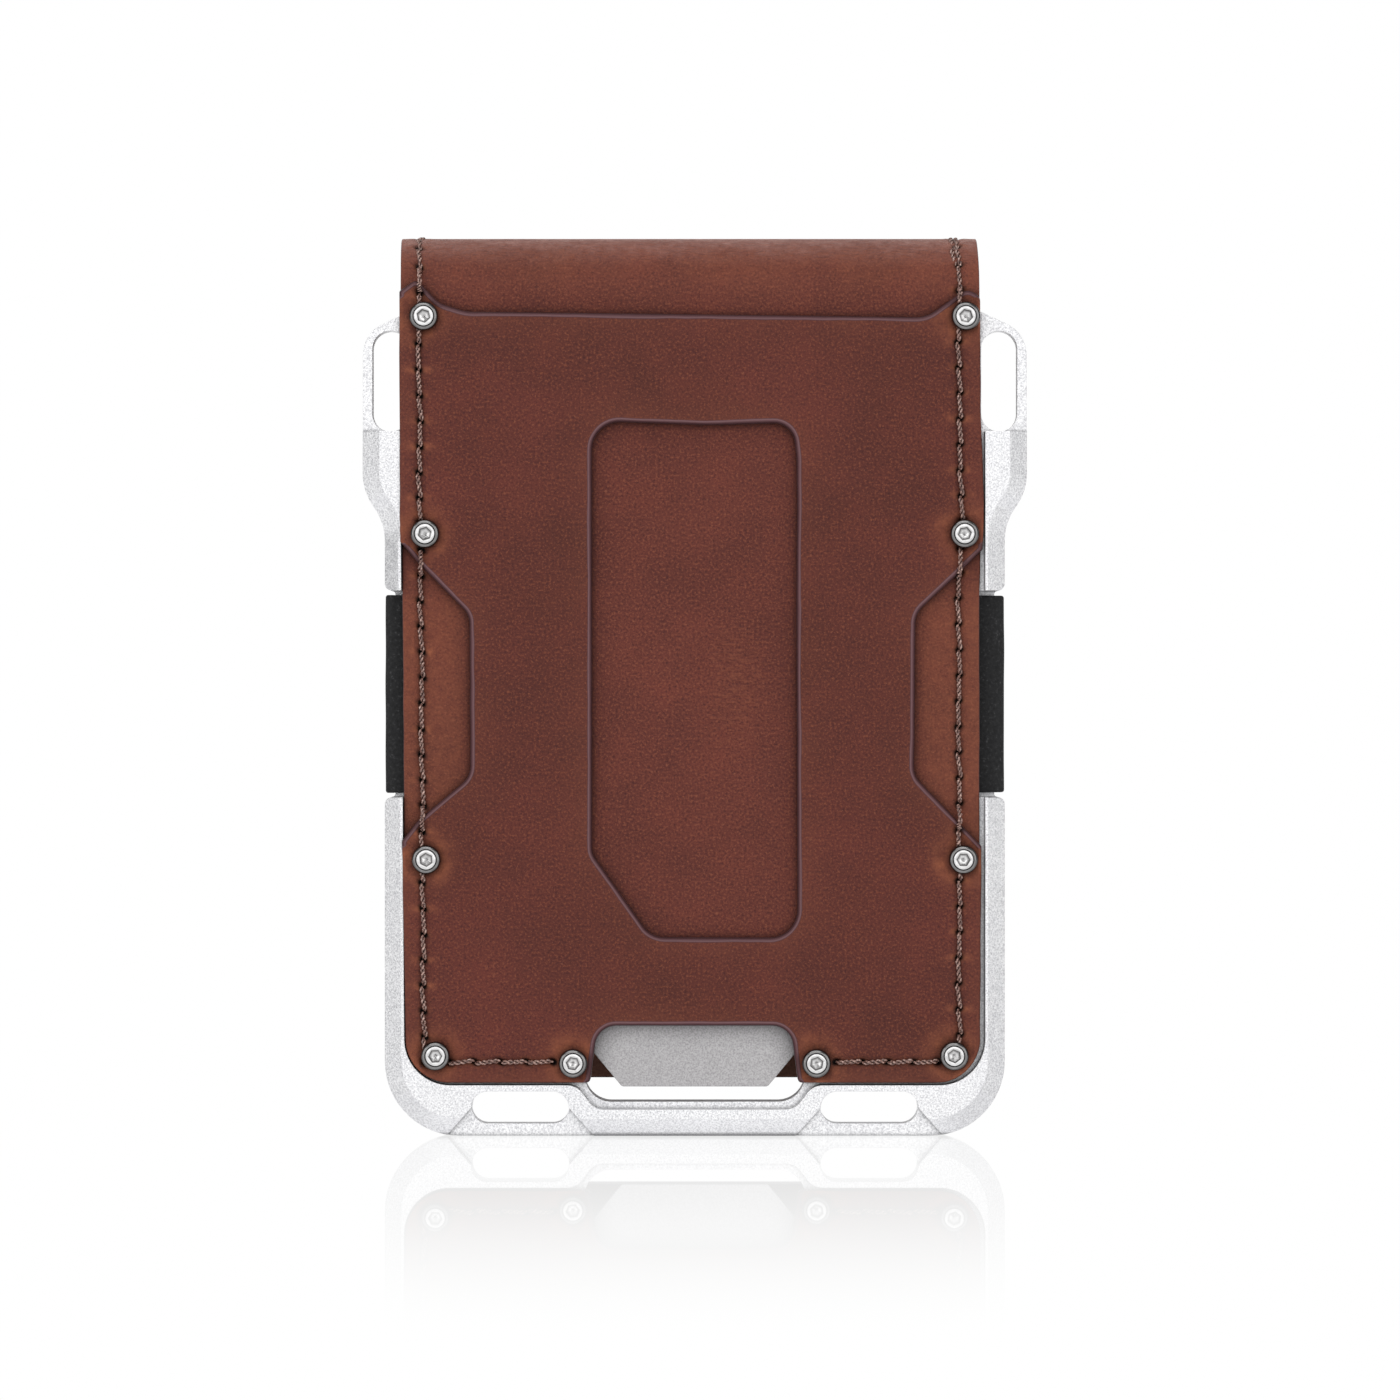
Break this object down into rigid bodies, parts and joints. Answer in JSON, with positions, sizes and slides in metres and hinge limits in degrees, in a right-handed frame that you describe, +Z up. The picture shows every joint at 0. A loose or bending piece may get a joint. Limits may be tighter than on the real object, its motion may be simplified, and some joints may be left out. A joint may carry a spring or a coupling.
{
  "type": "money clip",
  "caption": "Metal-framed folding money clip: a slotted chassis with a screwed-on leather cover that folds over the top to a rear cover, an elastic band and a spring steel clip.",
  "frame": {"origin": "centre of the bounding box's underside, on the lower edge of the chassis", "axes": "+X across the front, +Y from the front cover to the rear cover, +Z up the cards' long side"},
  "size_m": [0.0764, 0.0168, 0.1037],
  "materials": {
    "blasted_aluminium": "bead blasted",
    "brown_leather": "waxed, reddish brown",
    "dark_leather": "dark brown, matt",
    "black_elastic": "matt black",
    "blasted_steel": "fine bead blasted",
    "polished_steel": "polished",
    "brown_thread": "waxed twisted thread"
  },
  "bodies": {
    "frame": {"chassis": "blasted_aluminium", "front_cover": "brown_leather", "front_pocket": "brown_leather", "elastic_band": "black_elastic", "clip_front_leg": "blasted_steel", "cover_screws": "polished_steel", "front_seam_left": "brown_thread", "front_seam_right": "brown_thread", "front_seam_bottom_left": "brown_thread", "front_seam_bottom_right": "brown_thread"},
    "fold": {"spine": "brown_leather", "spine_seams": "brown_thread"},
    "rear": {"rear_cover": "brown_leather", "rear_lining": "dark_leather", "card_slot_upper": "dark_leather", "card_slot_middle": "dark_leather", "card_slot_lower": "dark_leather", "rear_seam_left": "brown_thread", "rear_seam_right": "brown_thread", "rear_seam_bottom": "brown_thread"},
    "clip_leg": {"clip_rear_leg": "blasted_steel"}
  },
  "joints": [
    {"name": "spine_fold", "type": "hinge", "parent": "frame", "child": "fold", "pos_m": [0, -0.00553, 0.10017], "axis": [1, 0, 0], "range_deg": [0, 90]},
    {"name": "cover_fold", "type": "hinge", "parent": "fold", "child": "rear", "pos_m": [0, 0.00768, 0.10017], "axis": [1, 0, 0], "range_deg": [0, 90]},
    {"name": "clip_flex", "type": "hinge", "parent": "frame", "child": "clip_leg", "pos_m": [0, -0.00146, 0.09991], "axis": [1, 0, 0], "range_deg": [0, 1.2], "stiffness_Nm_per_rad": 2}
  ],
  "couplings": [
    {"joint": "cover_fold", "follows": "spine_fold", "ratio": 1}
  ]
}
